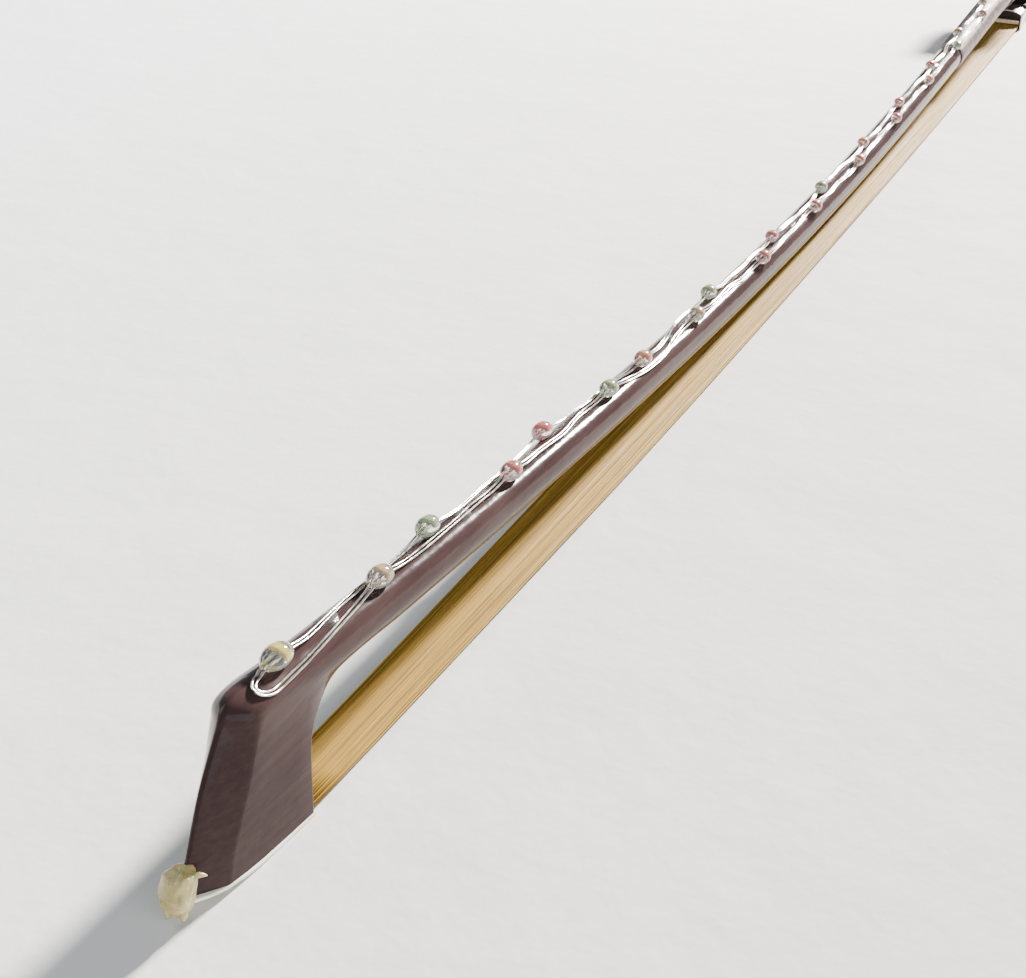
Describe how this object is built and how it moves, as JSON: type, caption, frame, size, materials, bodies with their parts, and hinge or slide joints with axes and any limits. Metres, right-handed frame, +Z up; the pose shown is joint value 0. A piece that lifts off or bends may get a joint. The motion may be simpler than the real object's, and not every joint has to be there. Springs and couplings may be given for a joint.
{
  "type": "cello bow with a light string",
  "caption": "Slack cello bow standing hair down, with a folded string of tiny wire lights glued along its stick and a coin-cell box by the frog.",
  "frame": {"origin": "under the middle of the whole object, on the surface that it stands on", "axes": "+X along the bow from its head to its screw button, +Z up from the hair to the stick, Y across the stick"},
  "size_m": [0.7224, 0.0261, 0.0427],
  "materials": {
    "wood": "gloss",
    "ebony": "satin",
    "bone": "satin",
    "glue": "gloss",
    "hair": "satin",
    "silver": "polished",
    "light_string_wire": "polished",
    "brass": "satin",
    "steel": "satin",
    "pearl": "gloss",
    "leather": "satin",
    "maple": "matte",
    "thread": "matte",
    "lamp_resin": "gloss",
    "white_plastic": "satin",
    "foam": "matte",
    "circuit_board": "satin",
    "black_plastic": "satin"
  },
  "bodies": {
    "stick": {"stick": "wood", "tip_plate": "bone", "tip_liner": "ebony", "nose_glue": "glue", "tip_plug": "maple", "tip_hair_knot": "thread", "hair_ribbon": "hair", "silver_winding": "silver", "thumb_leather": "leather", "light_wire": "light_string_wire", "led_bead_01": "lamp_resin", "led_bead_02": "lamp_resin", "led_bead_03": "lamp_resin", "led_bead_04": "lamp_resin", "led_bead_05": "lamp_resin", "led_bead_06": "lamp_resin", "led_bead_07": "lamp_resin", "led_bead_08": "lamp_resin", "led_bead_09": "lamp_resin", "led_bead_10": "lamp_resin", "glue_dab_1": "glue", "glue_dab_2": "glue", "glue_dab_3": "glue", "glue_dab_4": "glue", "glue_dab_5": "glue", "glue_dab_6": "glue", "foam_pad": "foam", "battery_case": "white_plastic", "coin_cell_lower": "steel", "coin_cell_upper": "steel", "cell_contact": "brass", "control_board": "circuit_board", "control_chip": "black_plastic", "lead_grommet": "white_plastic"},
    "frog": {"frog_block": "ebony", "underslide": "ebony", "pearl_slide": "pearl", "ferrule": "silver", "spread_wedge": "maple", "frog_plug": "maple", "frog_hair_knot": "thread", "heel_plate": "silver", "heel_pin": "silver", "eye_ring_left": "silver", "eye_ring_right": "silver", "eye_pearl_left": "pearl", "eye_pearl_right": "pearl", "eyelet": "brass"},
    "screw": {"screw_rod": "steel", "button_ebony": "ebony", "button_ring_front": "silver", "button_ring_rear": "silver", "button_pearl": "pearl"},
    "battery_lid": {"battery_lid": "white_plastic"},
    "power_switch": {"power_switch": "black_plastic"}
  },
  "joints": [
    {"name": "screw_turn", "type": "hinge", "parent": "stick", "child": "screw", "pos_m": [0.2887, 0, 0.0223], "axis": [0.9988, 0, 0.05], "range_deg": [0, 2881]},
    {"name": "frog_slide", "type": "slide", "parent": "stick", "child": "frog", "axis": [0.9988, 0, 0.05], "range_m": [0, 0.0064], "deforming": ["hair_ribbon"]},
    {"name": "lid_slide", "type": "slide", "parent": "stick", "child": "battery_lid", "axis": [0.9988, 0, 0.05], "range_m": [0, 0.032]},
    {"name": "switch_slide", "type": "slide", "parent": "stick", "child": "power_switch", "axis": [0.9988, 0, 0.05], "range_m": [0, 0.003]}
  ],
  "couplings": [
    {"joint": "screw_turn", "follows": "frog_slide", "rad_per_m": 7854}
  ]
}
